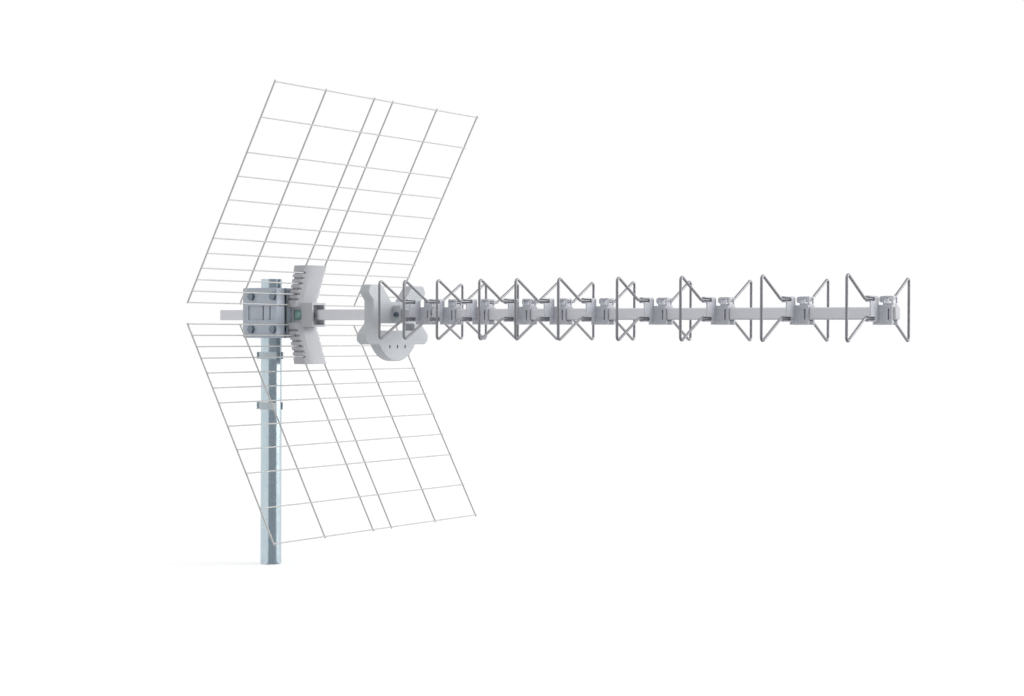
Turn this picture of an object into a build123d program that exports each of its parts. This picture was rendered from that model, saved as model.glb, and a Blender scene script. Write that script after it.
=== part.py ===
from build123d import *
import os
from math import cos, radians, sin, sqrt, tan

os.makedirs("parts", exist_ok=True)

# The part is a directional UHF aerial on a short mast tube.
# Frame: origin at the centre of the mast's foot, +Z up the mast,
# +X along the boom towards the directors, +Y towards the boom's side of the mast.

# Mast tube
mast_diameter = 30.0
mast_wall = 1.5
mast_length = 406.0

# Boom: a square aluminium tube
boom_size = 15.0
boom_wall = 1.2
boom_corner = 1.5
boom_length = 1034.0
boom_tail = 114.0
boom_height = 355.0
cap_thickness = 8.0
cap_plug = 14.0
cap_plug_wall = 2.0
cap_edge = 1.5

# Clearances between pieces
slide_gap = 0.1
bolt_gap = 0.3
seat_gap = 0.1

# Mast clamp: outer jaw, middle saddle, back plate
clamp_tail = 36.0
clamp_nose = 26.5
clamp_height = 71.0
clamp_rise = 2.5
clamp_corner = 3.0
vee_half_angle = 60.0
vee_floor = 2.7
jaw_reach = 3.0
window_width = 52.0
window_height = 20.0
lip_depth = 6.0
back_thickness = 4.0
clamp_rib = 1.5
clamp_rib_height = 3.0
clamp_bolt_diameter = 6.0
clamp_bolt_side = 1.8
clamp_bolt_spread = 23.25
bolt_head_width = 10.0
bolt_head_height = 4.0
corner_slope = 30.0
nut_height = 5.0
washer_diameter = 12.0
washer_thickness = 1.2
bolt_tail = 4.0

# Reflector: two welded wire grids
grid_wire = 2.4
grid_cross_wire = 1.8
grid_weld = 0.5
grid_width = 468.0
grid_rows = (17.0, 17.0, 17.0, 22.0, 22.0, 22.0, 34.0, 34.0, 34.0, 50.0, 50.0)
grid_inner_columns = (21.3, 128.5)
grid_overhang = 2.0
grid_tilt = 27.7
grid_nose = 29.0
grid_rise = 15.0

# Reflector holder: a moulded hub with two arms, and a rear keeper on each arm
arm_half_width = 24.0
arm_ridge_half_width = 14.0
arm_bevel = 5.0
arm_root_rise = 11.0
arm_reach = 70.0
arm_root_rear = 27.0
arm_root_front = 44.0
arm_tip_rear = 39.0
arm_tip_front = 64.0
groove_gap = 0.15
rib_slot_height = 3.0
rib_slot_depth = 3.5
rib_slot_pitch = 7.5
rib_slot_count = 6
hub_half_width = 15.0
hub_half_height = 17.0
hub_front = 64.0
hub_mouth_depth = 12.0
hub_mouth_wall = 3.0
hub_bolt_x = 37.0
hub_bolt_diameter = 6.0
hub_pocket = 15.0
hub_pocket_depth = 4.5
holder_bolt_tail = 1.0
keeper_screw_diameter = 4.0
keeper_screw_head = 8.0
keeper_screw_head_height = 3.0
keeper_screw_seat = 5.0
keeper_screw_grip = 4.9
keeper_screw_spare = 0.5
keeper_screw_slope = 42.5
drive_share = 3.0
drive_depth = 1.5

# Dipole housing: two moulded shells round the dipole plates and the balun
dipole_x = 194.5
shell_depth = 8.0
shell_wall = 2.0
shell_corner = 5.0
shell_edge = 1.5
notch_floor_half = 14.0
notch_floor_rise = 17.5
lobe_inner = 35.0
lobe_top = 40.5
lobe_shoulder = 62.0
lobe_half_width = 67.5
lobe_chin = 30.0
waist_half_width = 56.0
waist_top = 19.0
waist_bottom = -12.0
horn_half_width = 73.0
horn_top = -27.0
horn_bottom = -36.0
horn_heel = 66.0
horn_heel_drop = -41.0
belly_radius = 50.0
belly_centre_drop = -14.3
gap_half_width = 40.0
gap_top = -12.0
gap_bottom = -22.0
gap_corner = 3.0
collar_length = 40.0
collar_wall = 3.0
collar_crown = 5.5
collar_corner = 2.0
gasket_width = 1.2
gasket_thickness = 0.8
boss_diameter = 7.0
lobe_screw = (50.0, 30.0)
belly_screw = (31.0, -31.0)
housing_screw_diameter = 3.0
housing_screw_head = 5.6
housing_screw_head_height = 2.0
housing_screw_spare = 1.0
small_drive_depth = 1.0
drain_width = 3.0
drain_height = 5.0
drain_pitch = 18.0
drain_drop = -44.0
collar_screw_diameter = 4.0
collar_screw_head = 7.0
collar_screw_head_height = 3.0

# Inside the housing, and the cable socket on its back
plate_thickness = 1.0
plate_margin = 1.0
plate_inner = 13.0
feed_pin_diameter = 2.0
feed_pin_y = 22.0
feed_pin_z = -33.0
board_width = 54.0
board_height = 24.0
board_thickness = 1.6
board_corner = 1.5
board_drop = -42.0
board_post_diameter = 5.0
board_post_y = 20.0
board_post_z = -47.0
socket_diameter = 9.5
socket_length = 10.0
socket_base_diameter = 10.5
socket_base_spare = 0.5
socket_bore = 3.0
socket_bore_depth = 8.0
socket_flange = 13.0
socket_flange_thickness = 2.0
socket_nut_width = 14.0
socket_nut_height = 2.5

# Cable clips on the mast
band_wall = 1.8
band_height = 10.0
band_gap = 0.15
band_mouth = 14.0
cable_room = 6.8
cable_mouth = 4.6
band_drops = (58.0, 130.0)

# Directors: a moulded clip and two bent wire wings each
director_first = 244.0
director_pitches = (40.0, 53.0, 66.0, 55.0, 63.0, 84.0, 87.0, 106.0, 106.0)
director_end_spare = 16.0
wing_wire = 3.5
wing_bend = 4.0
wing_span = 196.6
wing_height = 81.0
wing_rise = 5.2
socket_spread = 11.6
socket_depth = 24.0
arm_tip = 37.0
arm_depth = 6.5
clip_rear = 4.0
clip_front = 20.5
clip_half_width = 10.5
clip_bottom = 13.6
clip_corner = 1.5
lip_reach = 2.0
lip_top = 8.6
lip_foot = 10.6
barrel_height = 7.5
barrel_corner = 2.4
channel_height = 4.6
channel_length = 17.0
web_reach = 33.0
web_thickness = 1.8
saddle_roof = 2.5
tower_rear = 7.5
tower_half_width = 7.5
tower_wall = 2.0
wall_slot_width = 2.2
wall_slot_setback = 3.4
wall_slot_top = 5.5
bend_clear = 7.5

# Places that follow from the sizes above
mast_radius = mast_diameter / 2
vee_apex = mast_radius / sin(radians(vee_half_angle))
saddle_near = vee_apex + vee_floor
boom_y = saddle_near + boom_size / 2
boom_half = boom_size / 2
boom_front = boom_length - boom_tail
clamp_bolt_x = mast_radius + clamp_bolt_diameter / 2 + clamp_bolt_side
clamp_face = saddle_near
back_face = boom_y + boom_half + back_thickness
boom_centre = Pos(0, boom_y, boom_height)
boom_level = Plane(origin=(0, 0, boom_height), z_dir=(0, 0, 1))
grid_length = sum(grid_rows)
low = Align.MIN
mid = Align.CENTER
high = Align.MAX


def save(name, shape):
    """Write one node, under its own name."""
    export_step(shape, "parts/" + name + ".step")


def block(x, y, z):
    """A box between the given ends, each a pair of low and high values."""
    size = [end[1] - end[0] for end in (x, y, z)]
    return Pos(x[0], y[0], z[0]) * Box(*size, align=(low, low, low))


def rod(start, end, diameter):
    """A straight round bar from one point to another."""
    run = Vector(*end) - Vector(*start)
    return Solid.make_cylinder(diameter / 2, run.length, Plane(origin=start, z_dir=run))


def hexagon_bar(start, end, across_flats):
    """A bolt head or nut from its seat to its outer end, where a cone turns its corners down."""
    run = Vector(*end) - Vector(*start)
    seat = Plane(origin=start, z_dir=run)
    outline = seat * RegularPolygon(across_flats / 2, 6, major_radius=False)
    bar = extrude(outline, run.length, dir=run.normalized())
    widest = across_flats / 2 + run.length / tan(radians(corner_slope))
    return bar & Solid.make_cone(widest, across_flats / 2, run.length, seat)


def group(shapes):
    """Separate solids that share one node."""
    return Compound(children=list(shapes))


def face_plane(x):
    """A drawing plane across the boom: its x is the aerial's Y, its y is Z."""
    return Plane(origin=(x, boom_y, boom_height), x_dir=(0, 1, 0), z_dir=(1, 0, 0))


def mirrored_outline(points):
    """A closed outline from its right half, listed from the top centre to the bottom centre."""
    left = [(-y, z) for y, z in reversed(points)]
    return make_face(Polyline(*points, *left, close=True))


def boom_passage(x_start, x_end, clearance=slide_gap):
    """The square space that the boom takes, with a clearance on each side."""
    side = boom_half + clearance
    return boom_centre * block((x_start, x_end), (-side, side), (-side, side))


def mast_tube():
    outer = Cylinder(mast_radius, mast_length, align=(mid, mid, low))
    inner = Cylinder(mast_radius - mast_wall, mast_length, align=(mid, mid, low))
    return outer - inner


def boom_tube():
    outline = RectangleRounded(boom_size, boom_size, boom_corner)
    hollow = Rectangle(boom_size - 2 * boom_wall, boom_size - 2 * boom_wall)
    tube = extrude(face_plane(-boom_tail) * (outline - hollow), boom_length)
    for x, diameter in ((hub_bolt_x, hub_bolt_diameter), (collar_screw_x(), collar_screw_diameter)):
        hole = diameter / 2 + bolt_gap
        across = rod((x, boom_y - boom_size, boom_height), (x, boom_y + boom_size, boom_height), 2 * hole)
        tube -= across
    return tube


def boom_front_cap():
    outline = RectangleRounded(boom_size, boom_size, boom_corner)
    head = extrude(face_plane(boom_front) * outline, cap_thickness)
    head = chamfer(head.faces().sort_by(Axis.X)[-1].edges(), cap_edge)
    side = boom_size - 2 * boom_wall - 2 * slide_gap
    hollow = side - 2 * cap_plug_wall
    plug = extrude(face_plane(boom_front - cap_plug) * Rectangle(side, side), cap_plug)
    core = extrude(face_plane(boom_front - cap_plug) * Rectangle(hollow, hollow), cap_plug - cap_plug_wall)
    return head + plug - core


def clamp_plate(y_near, y_far):
    """The clamp's rounded outline between two planes across the boom's side."""
    length = clamp_tail + clamp_nose
    outline = RectangleRounded(length, clamp_height, clamp_corner)
    centre = ((clamp_nose - clamp_tail) / 2, y_near, boom_height + clamp_rise)
    return extrude(Plane(origin=centre, x_dir=(1, 0, 0), z_dir=(0, 1, 0)) * outline, y_far - y_near)


def mast_vee(side):
    """The prism that cuts a seat for the mast: side is -1 for the near jaw and +1 for the saddle."""
    depth = vee_apex + seat_gap
    half = depth * tan(radians(vee_half_angle))
    outline = make_face(Polyline((0, side * depth), (half, 0), (-half, 0), close=True))
    return extrude(outline, boom_height + clamp_height)


def clamp_bolt_places():
    """The four bolt axes, beside the mast and above and below the boom."""
    middle = boom_height + clamp_rise
    return [(x, middle + z) for x in (-clamp_bolt_x, clamp_bolt_x)
            for z in (-clamp_bolt_spread, clamp_bolt_spread)]


def clamp_bolt_holes(y_near, y_far):
    width = clamp_bolt_diameter + 2 * bolt_gap
    return [rod((x, y_near, z), (x, y_far, z), width) for x, z in clamp_bolt_places()]


def clamp_jaw():
    jaw = clamp_plate(-clamp_face, -jaw_reach)
    jaw -= mast_vee(-1)
    middle = boom_height + clamp_rise
    half_window = (window_width / 2, window_height / 2)
    jaw -= block((-half_window[0], half_window[0]), (-clamp_face, 0),
                 (middle - half_window[1], middle + half_window[1]))
    for rise in (-clamp_height / 2 + clamp_rib_height, clamp_height / 2 - 2 * clamp_rib_height):
        jaw += block((clamp_corner - clamp_tail, clamp_nose - clamp_corner),
                     (-clamp_face - clamp_rib, -clamp_face),
                     (middle + rise, middle + rise + clamp_rib_height))
    for hole in clamp_bolt_holes(-clamp_face, 0):
        jaw -= hole
    return jaw


def clamp_saddle():
    saddle = clamp_plate(jaw_reach, clamp_face + lip_depth)
    saddle -= mast_vee(1)
    saddle -= boom_passage(-boom_tail, clamp_tail + clamp_nose) & block(
        (-boom_tail, clamp_tail + clamp_nose), (clamp_face, back_face), (0, mast_length))
    for hole in clamp_bolt_holes(0, back_face):
        saddle -= hole
    return saddle


def clamp_back_plate():
    plate = clamp_plate(back_face - back_thickness - lip_depth, back_face)
    side = boom_half + slide_gap
    plate -= boom_centre * block((-boom_tail, clamp_tail + clamp_nose), (-side, boom_half), (-side, side))
    middle = boom_height + clamp_rise
    for side_z in (-1, 1):
        wall_z = middle + side_z * clamp_height / 2
        pocket = block((clamp_corner - clamp_tail, clamp_nose - clamp_corner),
                       (back_face - back_thickness, back_face), (-clamp_corner, clamp_corner))
        plate -= Pos(0, 0, wall_z - side_z * 2 * clamp_corner) * pocket
    for hole in clamp_bolt_holes(0, back_face):
        plate -= hole
    return plate


def clamp_fasteners():
    """The bolts with hexagonal heads on the jaw, and washers and nuts on the back plate."""
    bolts = []
    washers = []
    nuts = []
    washer_face = back_face + washer_thickness
    nut_face = washer_face + nut_height
    for x, z in clamp_bolt_places():
        shank = rod((x, -clamp_face, z), (x, nut_face + bolt_tail, z), clamp_bolt_diameter)
        head = hexagon_bar((x, -clamp_face, z), (x, -clamp_face - bolt_head_height, z), bolt_head_width)
        bolts.append(shank + head)
        bore = rod((x, back_face, z), (x, nut_face, z), clamp_bolt_diameter + 2 * slide_gap)
        washers.append(rod((x, back_face, z), (x, washer_face, z), washer_diameter) - bore)
        nuts.append(hexagon_bar((x, washer_face, z), (x, nut_face, z), bolt_head_width) - bore)
    return group(bolts), group(washers), group(nuts)


def grid_plane():
    """The upper grid's plane: its x is the aerial's Y, its y runs up the slope, its z points forward."""
    tilt = radians(grid_tilt)
    return Plane(origin=(grid_nose, boom_y, boom_height + grid_rise), x_dir=(0, 1, 0),
                 z_dir=(cos(tilt), 0, -sin(tilt)))


def grid_row_places():
    return [sum(grid_rows[:count]) for count in range(len(grid_rows) + 1)]


def cross_wire_lift():
    """How far the cross wires' centres stand in front of the long wires' centres."""
    return (grid_wire + grid_cross_wire) / 2 - grid_weld


def grid_wires(gap):
    """The long wires in the plane and the cross wires welded on their front, gap wider all round."""
    lift = cross_wire_lift()
    across = grid_width / 2 + grid_overhang
    long_wires = []
    for column in (*grid_inner_columns, grid_width / 2):
        for side in (-1, 1):
            long_wires.append(rod((side * column, -grid_overhang, 0),
                                  (side * column, grid_length + grid_overhang, 0), grid_wire + 2 * gap))
    cross_wires = [rod((-across, row, lift), (across, row, lift), grid_cross_wire + 2 * gap)
                   for row in grid_row_places()]
    return long_wires, cross_wires


def reflector_panel_upper():
    long_wires, cross_wires = grid_wires(0)
    panel = long_wires[0].fuse(*long_wires[1:], *cross_wires)
    return grid_plane() * panel


def arm_section(rise, rear, front):
    """One level section of the holder's arm: square at the back, bevelled to a ridge in front."""
    outline = Polyline((rear, -arm_half_width), (front - arm_bevel, -arm_half_width),
                       (front, -arm_ridge_half_width), (front, arm_ridge_half_width),
                       (front - arm_bevel, arm_half_width), (rear, arm_half_width), close=True)
    return Pos(0, boom_y, boom_height + rise) * make_face(outline)


def arm_blank():
    """The whole upper arm, before it is parted along the grid."""
    return loft([arm_section(arm_root_rise, arm_root_rear, arm_root_front),
                 arm_section(arm_reach, arm_tip_rear, arm_tip_front)], ruled=True)


def half_space(side):
    """A large block in front of the grid's plane (side 1) or behind it (side -1)."""
    reach = 2 * arm_reach
    thick = (0, reach) if side > 0 else (-reach, 0)
    return grid_plane() * block((-reach, reach), (-reach, reach), thick)


def rib_slots():
    """Level slots in both side faces of the arm, which leave ribs between them."""
    slots = []
    for count in range(rib_slot_count):
        rise = boom_height + arm_root_rise + hub_half_height + (count - 1) * rib_slot_pitch
        for side in (-1, 1):
            y = boom_y + side * arm_half_width
            slots.append(block((0, 2 * arm_tip_front), (y - rib_slot_depth, y + rib_slot_depth),
                               (rise, rise + rib_slot_height)))
    return slots


def wire_grooves():
    """The room for the grid's wires where the arm and its keeper close on them."""
    long_wires, cross_wires = grid_wires(groove_gap)
    half = grid_cross_wire / 2 + groove_gap
    across = grid_width / 2
    slots = [block((-across, across), (row - half, row + half), (0, cross_wire_lift()))
             for row in grid_row_places()]
    return [grid_plane() * piece for piece in long_wires + cross_wires + slots]


def keeper_screw(diameter, start, end):
    """A bar along the upper keeper's screw axis, between two depths from the grid's plane."""
    return grid_plane() * rod((0, keeper_screw_slope, start), (0, keeper_screw_slope, end), diameter)


def holder_arm():
    arm = arm_blank() & half_space(1)
    for cut in wire_grooves() + rib_slots():
        arm -= cut
    hole_end = keeper_screw_grip + keeper_screw_spare
    arm -= keeper_screw(keeper_screw_diameter + 2 * slide_gap, -keeper_screw_spare, hole_end)
    return arm


def hub_block():
    """The hub's plain block, which the keepers seat on."""
    return boom_centre * block((arm_root_rear, hub_front), (-hub_half_width, hub_half_width),
                               (-hub_half_height, hub_half_height))


def keeper_upper():
    keeper = (arm_blank() & half_space(-1)) - hub_block()
    for cut in wire_grooves() + rib_slots():
        keeper -= cut
    keeper -= keeper_screw(keeper_screw_diameter + 2 * bolt_gap, -arm_reach, 0)
    keeper -= keeper_screw(keeper_screw_head + 2 * bolt_gap, -arm_reach, -keeper_screw_seat)
    return keeper


def keeper_screw_upper():
    outer = -keeper_screw_seat - keeper_screw_head_height
    shank = keeper_screw(keeper_screw_diameter, -keeper_screw_seat, keeper_screw_grip)
    head = keeper_screw(keeper_screw_head, outer, -keeper_screw_seat)
    drive = keeper_screw(keeper_screw_head / drive_share, outer, outer + drive_depth)
    return shank + head - drive


def reflector_holder():
    arm = holder_arm()
    hub = hub_block()
    for cut in wire_grooves():
        hub -= cut
        hub -= mirror(cut, about=boom_level)
    holder = hub + arm + mirror(arm, about=boom_level)
    holder -= boom_passage(0, 2 * hub_front)
    mouth_y = hub_half_width - hub_mouth_wall
    mouth_z = hub_half_height - hub_mouth_wall
    holder -= boom_centre * block((hub_front - hub_mouth_depth, hub_front), (-mouth_y, mouth_y),
                                  (-mouth_z, mouth_z))
    for side in (-1, 1):
        y = side * hub_half_width
        pocket = block((hub_bolt_x - hub_pocket / 2, hub_bolt_x + hub_pocket / 2),
                       (y - hub_pocket_depth, y + hub_pocket_depth), (-hub_pocket / 2, hub_pocket / 2))
        holder -= boom_centre * pocket
    holder -= rod((hub_bolt_x, 0, boom_height), (hub_bolt_x, 2 * boom_y, boom_height),
                  hub_bolt_diameter + 2 * bolt_gap)
    return holder


def holder_bolt_and_nut():
    seat = hub_half_width - hub_pocket_depth
    near = boom_y - seat
    far = boom_y + seat
    x = hub_bolt_x
    head = hexagon_bar((x, near, boom_height), (x, near - bolt_head_height, boom_height), bolt_head_width)
    shank = rod((x, near, boom_height), (x, far + nut_height + holder_bolt_tail, boom_height),
                hub_bolt_diameter)
    nut = hexagon_bar((x, far, boom_height), (x, far + nut_height, boom_height), bolt_head_width)
    nut -= rod((x, far, boom_height), (x, far + nut_height, boom_height), hub_bolt_diameter + 2 * slide_gap)
    return head + shank, nut


def housing_outline(inset=0.0):
    """The dipole housing's butterfly outline, seen along the boom."""
    wings = mirrored_outline([
        (notch_floor_half, notch_floor_rise), (lobe_inner, lobe_top), (lobe_shoulder, lobe_top),
        (lobe_half_width, lobe_chin), (waist_half_width, waist_top), (waist_half_width, waist_bottom),
        (horn_half_width, horn_top), (horn_half_width, horn_bottom), (horn_heel, horn_heel_drop)])
    belly = Pos(0, belly_centre_drop) * Circle(belly_radius)
    belly &= Pos(0, horn_top) * Rectangle(2 * belly_radius, 2 * belly_radius, align=(mid, high))
    outline = wings + belly
    outline = fillet(outline.vertices(), shell_corner)
    if inset:
        outline = offset(outline, amount=-inset, kind=Kind.INTERSECTION)
    return outline


def housing_gap(outset=0.0):
    """The see-through slot under the boom."""
    height = gap_top - gap_bottom + 2 * outset
    slot = RectangleRounded(2 * (gap_half_width + outset), height, gap_corner + outset)
    return Pos(0, (gap_top + gap_bottom) / 2) * slot


def collar_outline(outset=0.0):
    """The boom collar's outline: higher over the boom than under it."""
    half = boom_half + slide_gap + collar_wall + outset
    top = boom_half + slide_gap + collar_crown + outset
    return Pos(0, (top - half) / 2) * RectangleRounded(2 * half, top + half, collar_corner)


def collar_screw_x():
    return dipole_x + shell_depth + (collar_length / 2 - shell_depth) / 2


def screw_places():
    """The shells' screws: two in the lobes and two in the belly's corners."""
    return [(side * y, z) for side in (-1, 1) for y, z in (lobe_screw, belly_screw)]


def shell(side):
    """One half of the housing, open to the parting plane: side 1 is in front and -1 behind."""
    plane = face_plane(dipole_x)
    depth = side * shell_depth
    floor = side * (shell_depth - shell_wall)
    solid = extrude(plane * (housing_outline() - housing_gap()), depth)
    outer = solid.faces().sort_by(Axis.X)[-1 if side > 0 else 0]
    solid = fillet(outer.outer_wire().edges(), shell_edge)
    cavity = housing_outline(shell_wall) - housing_gap(shell_wall) - collar_outline()
    bosses = [Pos(*place) * Circle(boss_diameter / 2) for place in screw_places()]
    for boss in bosses:
        cavity -= boss
    solid -= extrude(plane * cavity, floor)
    for boss in bosses:
        solid -= extrude(plane * boss, side * plate_thickness / 2)
    solid += extrude(plane * collar_outline(), side * collar_length / 2)
    solid -= boom_passage(0, 2 * dipole_x)
    return solid


def dipole_front_shell():
    front = shell(1) - housing_gasket()
    for y, z in screw_places():
        hole = face_plane(dipole_x) * Pos(y, z) * Circle(housing_screw_diameter / 2 + slide_gap)
        front -= extrude(hole, shell_depth - shell_wall)
    for y in (-drain_pitch, 0, drain_pitch):
        slot = Pos(y, drain_drop) * SlotOverall(drain_height, drain_width, 90)
        front -= extrude(face_plane(dipole_x + shell_depth) * slot, -shell_wall)
    x = collar_screw_x()
    reach = boom_half + 2 * collar_wall
    front -= rod((x, boom_y - reach, boom_height), (x, boom_y + reach, boom_height),
                 collar_screw_diameter + 2 * bolt_gap)
    return front


def dipole_rear_shell():
    rear = shell(-1)
    for y, z in screw_places():
        through = face_plane(dipole_x) * Pos(y, z) * Circle(housing_screw_diameter / 2 + bolt_gap)
        sink = face_plane(dipole_x - shell_depth) * Pos(y, z) * Circle(housing_screw_head / 2 + bolt_gap)
        rear -= extrude(through, -shell_depth)
        rear -= extrude(sink, housing_screw_head_height)
    centre = (dipole_x - shell_depth, boom_y, boom_height + board_drop)
    inner = (dipole_x, boom_y, boom_height + board_drop)
    rear -= rod(centre, inner, socket_base_diameter + 2 * bolt_gap)
    floor = dipole_x - shell_depth + shell_wall
    for side in (-1, 1):
        post = face_plane(floor) * Pos(side * board_post_y, board_post_z) * Circle(board_post_diameter / 2)
        rear += extrude(post, socket_flange_thickness)
    return rear


def housing_screws():
    screws = []
    top = dipole_x - shell_depth
    seat = top + housing_screw_head_height
    end = dipole_x + shell_depth - shell_wall - housing_screw_spare
    for y, z in screw_places():
        def place(x, y=y, z=z):
            return (x, boom_y + y, boom_height + z)
        head = rod(place(top), place(seat), housing_screw_head)
        shank = rod(place(seat), place(end), housing_screw_diameter)
        drive = rod(place(top), place(top + small_drive_depth), housing_screw_head / drive_share)
        screws.append(head + shank - drive)
    return group(screws)


def collar_screw():
    x = collar_screw_x()
    face = boom_y - boom_half - slide_gap - collar_wall
    top = face - collar_screw_head_height
    head = rod((x, top, boom_height), (x, face, boom_height), collar_screw_head)
    shank = rod((x, face, boom_height), (x, 2 * boom_y - face, boom_height), collar_screw_diameter)
    drive = rod((x, top, boom_height), (x, top + drive_depth, boom_height), collar_screw_head / drive_share)
    return head + shank - drive


def housing_gasket():
    """The seal that fills a groove in the front shell's rim, against the rear shell's rim."""
    groove = (shell_wall - gasket_width) / 2
    ring = housing_outline(groove) - housing_outline(groove + gasket_width)
    return extrude(face_plane(dipole_x) * ring, gasket_thickness)


def dipole_plates():
    """The two halves of the dipole: flat sheets that the screws hold between the shells' bosses."""
    room = housing_outline(shell_wall + plate_margin) - housing_gap(shell_wall + plate_margin)
    for y, z in screw_places():
        room -= Pos(y, z) * Circle(housing_screw_diameter / 2 + bolt_gap)
    right = room & Pos(plate_inner, horn_bottom) * Rectangle(
        horn_half_width, 2 * horn_half_width, align=(low, low))
    sheet = extrude(face_plane(dipole_x - plate_thickness / 2) * right, plate_thickness)
    return sheet, mirror(sheet, about=Plane(origin=(0, boom_y, 0), z_dir=(0, 1, 0)))


def balun_board():
    back = dipole_x - shell_depth + shell_wall + socket_flange_thickness
    outline = Pos(0, board_drop) * RectangleRounded(board_width, board_height, board_corner)
    return extrude(face_plane(back) * outline, board_thickness)


def feed_pins():
    """Two pins that join the board to the dipole's halves."""
    start = dipole_x - shell_depth + shell_wall + socket_flange_thickness + board_thickness
    end = dipole_x - plate_thickness / 2
    return group(rod((start, boom_y + side * feed_pin_y, boom_height + feed_pin_z),
                     (end, boom_y + side * feed_pin_y, boom_height + feed_pin_z), feed_pin_diameter)
                 for side in (-1, 1))


def cable_socket():
    """The threaded socket for the down lead, and the nut that holds it in the rear shell."""
    def at(x):
        return (x, boom_y, boom_height + board_drop)
    outside = dipole_x - shell_depth
    floor = outside + shell_wall
    shoulder = outside - socket_nut_height - socket_base_spare
    tip = shoulder - socket_length
    socket = rod(at(floor), at(floor + socket_flange_thickness), socket_flange)
    socket += rod(at(shoulder), at(floor), socket_base_diameter)
    socket += rod(at(tip), at(shoulder), socket_diameter)
    socket -= rod(at(tip), at(tip + socket_bore_depth), socket_bore)
    nut = hexagon_bar(at(outside), at(outside - socket_nut_height), socket_nut_width)
    nut -= rod(at(outside - socket_nut_height), at(outside), socket_base_diameter + 2 * slide_gap)
    return socket, nut


def cable_clip(rise):
    """A sprung band round the mast, open in front, with an open hook for the cable behind."""
    inner = mast_radius + band_gap
    outer = inner + band_wall
    hook_inner = cable_room / 2
    hook_outer = hook_inner + band_wall
    hook_x = -(outer + hook_inner)
    outline = Circle(outer) + Pos(hook_x, 0) * Circle(hook_outer)
    outline += Pos(hook_x / 2 - outer / 2, 0) * Rectangle(outer / 2, hook_outer)
    outline -= Circle(inner)
    outline -= Pos(hook_x, 0) * Circle(hook_inner)
    outline -= Pos(inner, 0) * Rectangle(inner, band_mouth)
    outline -= Pos(hook_x, -hook_outer) * Rectangle(cable_mouth, hook_outer)
    return extrude(Pos(0, 0, rise - band_height / 2) * outline, band_height)


def wing(side):
    """One director wing, bent from a single rod, about the director's own centre."""
    inner = arm_tip - socket_depth
    bend = arm_tip + bend_clear
    half = wing_height / 2
    points = [(inner, socket_spread), (bend, socket_spread), (wing_span / 2, half),
              (wing_span / 2, -half), (bend, -socket_spread), (inner, -socket_spread)]
    path = FilletPolyline(*[(0, side * y, wing_rise + z) for y, z in points], radius=wing_bend)
    start = Plane(origin=(0, side * inner, wing_rise + socket_spread), z_dir=(0, side, 0))
    return sweep(start * Circle(wing_wire / 2), path=path)


def clip_passage():
    """The space for the boom: open below, past two snap lips and their lead-in."""
    side = boom_half + slide_gap
    outline = mirrored_outline([(side, boom_half), (side, -lip_top + lip_reach / 2),
                                (side - lip_reach, -lip_top), (side - lip_reach, -lip_foot),
                                (side, -clip_bottom)])
    return extrude(Plane(origin=(-clip_rear, 0, 0), x_dir=(0, 1, 0), z_dir=(1, 0, 0)) * outline,
                   clip_rear + clip_front)


def clip_arm(side):
    """One arm of a clip: two barrels for the wing's ends, joined by a thin web flush with their front."""
    half = arm_depth / 2
    root = clip_half_width - clip_corner
    arm = block((half - web_thickness, half), sorted((side * root, side * web_reach)),
                (wing_rise - socket_spread, wing_rise + socket_spread))
    for level in (-1, 1):
        barrel = RectangleRounded(arm_depth, barrel_height, barrel_corner)
        start = Plane(origin=(0, side * root, wing_rise + level * socket_spread), x_dir=(1, 0, 0),
                      z_dir=(0, side, 0))
        arm += extrude(start * barrel, arm_tip - root)
    return arm


def clip_sockets(side):
    """The holes that grip the wing's ends, and the wider channels to the front that they run out into."""
    cuts = []
    inner = arm_tip - socket_depth
    bore = wing_wire + 2 * slide_gap
    for level in (-1, 1):
        z = wing_rise + level * socket_spread
        cuts.append(rod((0, side * inner, z), (0, side * arm_tip, z), bore))
        cuts.append(block((-bore / 2, arm_depth), sorted((side * (arm_tip - channel_length), side * arm_tip)),
                          (z - channel_height / 2, z + channel_height / 2)))
    return cuts


def clip_tower():
    """The hollow block that stands on the saddle's front end, open at its sides and in front."""
    roof = boom_half + saddle_roof
    top = wing_rise + socket_spread + barrel_height / 2
    half = tower_half_width
    tower = block((tower_rear, clip_front), (-half, half), (roof, top))
    tower = fillet(tower.edges().filter_by(Axis.Z), clip_corner)
    levels = (roof + tower_wall, top - tower_wall)
    tower -= block((tower_rear + tower_wall, clip_front - tower_wall), (-half, half), levels)
    tower -= block((tower_rear + tower_wall, clip_front), (tower_wall - half, half - tower_wall), levels)
    return tower


def director_clip():
    """A clip about its wings' plane and the boom's axis: a saddle that snaps over the boom, with the two
    arms at its rear end, a tower on its front end, and a slot in each wall that lets the mouth spring."""
    roof = boom_half + saddle_roof
    clip = block((-clip_rear, clip_front), (-clip_half_width, clip_half_width), (-clip_bottom, roof))
    clip = fillet(clip.edges().filter_by(Axis.Z), clip_corner)
    clip += clip_tower() + clip_arm(-1) + clip_arm(1)
    clip -= clip_passage()
    slot_front = clip_front - wall_slot_setback
    clip -= block((slot_front - wall_slot_width, slot_front), (-clip_half_width, clip_half_width),
                  (-boom_half, wall_slot_top))
    for cut in clip_sockets(-1) + clip_sockets(1):
        clip -= cut
    return clip


def director_places():
    """The directors' places: the pitches keep their shares of the boom in front of the dipole."""
    room = boom_front - director_end_spare - director_first
    share = room / sum(director_pitches)
    return [director_first + share * sum(director_pitches[:count])
            for count in range(len(director_pitches) + 1)]


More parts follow.
